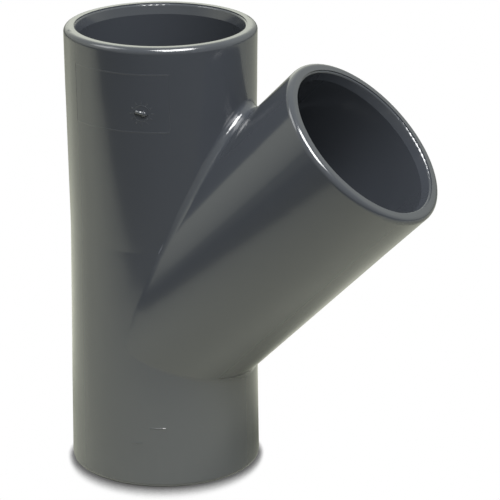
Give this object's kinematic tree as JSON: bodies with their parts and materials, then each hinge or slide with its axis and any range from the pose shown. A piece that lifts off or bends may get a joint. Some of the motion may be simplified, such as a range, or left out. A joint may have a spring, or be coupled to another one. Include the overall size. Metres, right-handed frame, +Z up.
{
  "type": "lateral wye fitting",
  "caption": "Lateral wye pipe fitting: a straight run with a branch leaving at 45 degrees, and a plain solvent-cement socket at every end.",
  "frame": {"origin": "centre of the lower mouth, in the plane of the rim that the fitting stands on", "axes": "+Z up the axis of the straight run, +X towards the side the branch leaves on, and the plane through X and Z halves the fitting"},
  "size_m": [0.118, 0.059, 0.1405],
  "materials": {
    "body": "gloss"
  },
  "bodies": {
    "root": {"wye_fitting": "body"}
  },
  "joints": []
}
